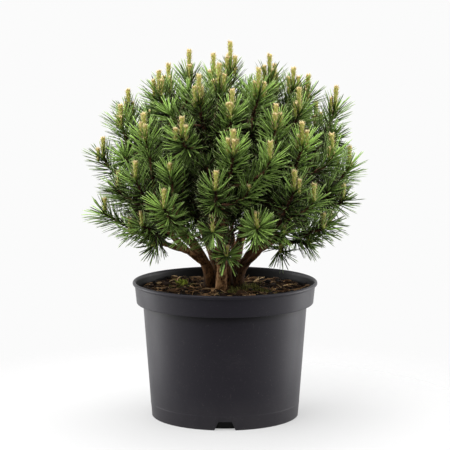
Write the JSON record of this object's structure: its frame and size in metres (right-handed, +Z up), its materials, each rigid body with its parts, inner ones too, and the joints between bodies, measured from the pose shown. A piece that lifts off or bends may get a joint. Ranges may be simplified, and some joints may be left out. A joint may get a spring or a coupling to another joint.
{
  "type": "potted conifer",
  "caption": "Dwarf mountain pine with upright pale buds, a round dense crown on several low boughs, in a black plastic nursery pot of soil",
  "frame": {"origin": "on the ground at the centre of the pot's foot, which is the bottom centre of the whole plant's box", "axes": "+Z up along the pot and the trunk; the front, where one drain notch of the pot shows, faces -Y; +X is to the viewer's right"},
  "size_m": [0.3677, 0.3589, 0.4883],
  "materials": {
    "black_plastic": "fine satin moulded black plastic",
    "potting_mix": "rough dark peat and bark mix",
    "bark": "rough scaly brown bark",
    "needles": "waxy dark green needles"
  },
  "bodies": {
    "root": {"bough_1": "bark", "bough_2": "bark", "bough_3": "bark", "bough_4": "bark", "bough_5": "bark", "foliage_crown": "needles", "foliage_flank_1": "needles", "foliage_flank_2": "needles", "foliage_flank_3": "needles", "foliage_flank_4": "needles", "foliage_flank_5": "needles", "foliage_shoulder_1": "needles", "foliage_shoulder_2": "needles", "foliage_shoulder_3": "needles", "foliage_shoulder_4": "needles", "foliage_shoulder_5": "needles", "foliage_shoulder_6": "needles", "foliage_shoulder_7": "needles", "foliage_skirt_1": "needles", "foliage_skirt_2": "needles", "foliage_skirt_3": "needles", "foliage_skirt_4": "needles", "foliage_skirt_5": "needles", "foliage_skirt_6": "needles", "foliage_skirt_7": "needles", "foliage_skirt_8": "needles", "foliage_skirt_9": "needles", "foliage_upper_1": "needles", "foliage_upper_2": "needles", "foliage_upper_3": "needles", "foliage_upper_4": "needles", "foliage_upper_5": "needles", "foliage_upper_6": "needles", "foliage_upper_7": "needles", "foliage_waist_1": "needles", "foliage_waist_2": "needles", "foliage_waist_3": "needles", "pot": "black_plastic", "side_bough_1": "bark", "side_bough_10": "bark", "side_bough_11": "bark", "side_bough_12": "bark", "side_bough_13": "bark", "side_bough_14": "bark", "side_bough_15": "bark", "side_bough_16": "bark", "side_bough_17": "bark", "side_bough_18": "bark", "side_bough_19": "bark", "side_bough_2": "bark", "side_bough_3": "bark", "side_bough_4": "bark", "side_bough_5": "bark", "side_bough_6": "bark", "side_bough_7": "bark", "side_bough_8": "bark", "side_bough_9": "bark", "soil": "potting_mix", "trunk": "bark"}
  },
  "joints": []
}
